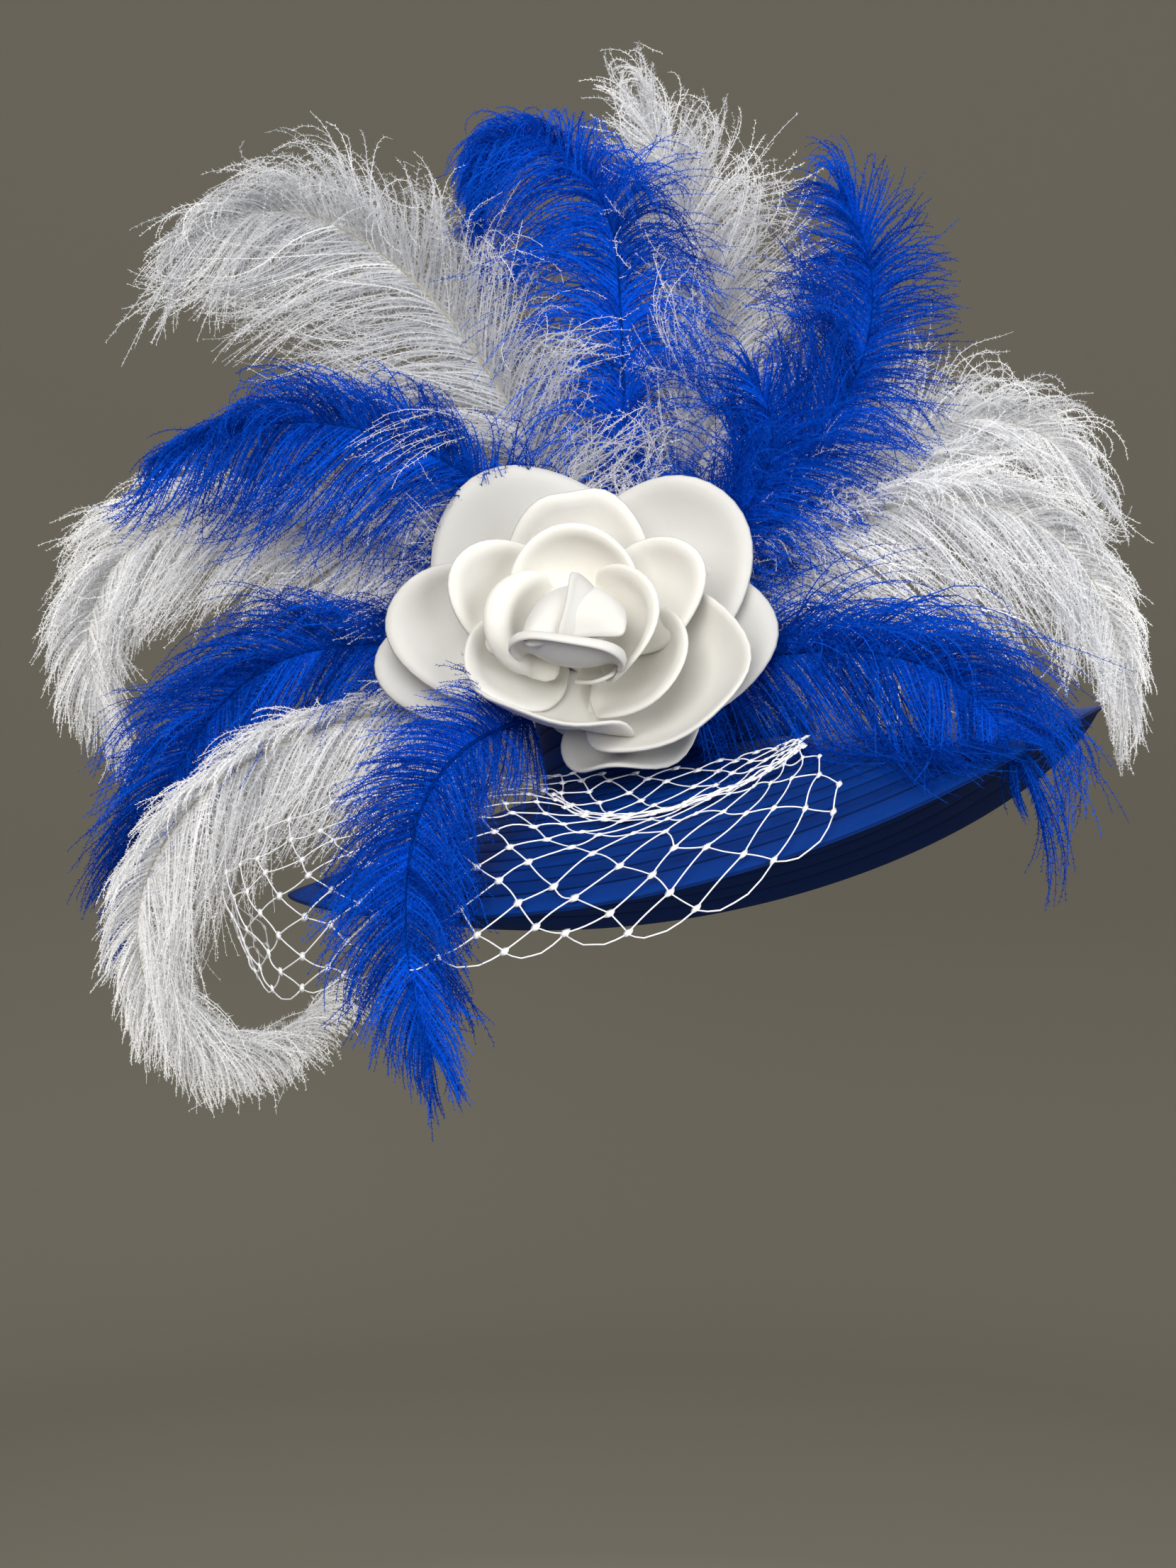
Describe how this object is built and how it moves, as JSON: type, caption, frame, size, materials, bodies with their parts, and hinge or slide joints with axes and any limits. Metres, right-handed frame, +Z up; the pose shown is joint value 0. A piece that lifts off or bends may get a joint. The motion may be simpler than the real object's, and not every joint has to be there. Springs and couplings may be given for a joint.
{
  "type": "church hat",
  "caption": "Wide-brimmed braid hat with a large foam flower, a fan of ostrich plumes and net veiling, shown as worn.",
  "frame": {"origin": "centre of the head opening, where the crown meets the brim", "axes": "+Z up as the hat is worn, -Y the way the wearer faces, +X the wearer's left; the hat is tipped, with the wearer's left side up"},
  "size_m": [0.6351, 0.4906, 0.5929],
  "materials": {
    "braid": "satin ribbon braid, royal blue",
    "felt": "plain white felt",
    "foam": "soft warm white foam sheet",
    "blue_plume": "dyed ostrich plume, royal blue",
    "white_plume": "bleached ostrich plume, white",
    "netting": "stiff white knotted net"
  },
  "bodies": {
    "root": {"crown": "braid", "brim": "braid", "trim_block": "felt", "petal_outer_low": "foam", "petal_outer_low_left": "foam", "petal_outer_right": "foam", "petal_outer_top_left": "foam", "petal_outer_top_right": "foam", "petal_outer_left": "foam", "petal_outer_low_right": "foam", "petal_outer_front": "foam", "petal_middle_top": "foam", "petal_middle_right": "foam", "petal_middle_left": "foam", "petal_middle_low_right": "foam", "petal_middle_low_left": "foam", "petal_inner_top": "foam", "petal_inner_right": "foam", "petal_inner_left": "foam", "petal_inner_low": "foam", "petal_heart_top": "foam", "petal_heart_low": "foam", "petal_heart_right": "foam", "plume_blue_top": "blue_plume", "plume_white_top_left": "white_plume", "plume_blue_left_high": "blue_plume", "plume_white_left": "white_plume", "plume_blue_left_low": "blue_plume", "plume_white_low_left": "white_plume", "plume_blue_low_front": "blue_plume", "plume_white_top": "white_plume", "plume_blue_top_right": "blue_plume", "plume_blue_short": "blue_plume", "plume_white_right_high": "white_plume", "plume_white_right_low": "white_plume", "plume_blue_right_low": "blue_plume", "veil_front": "netting", "veil_side": "netting"}
  },
  "joints": []
}
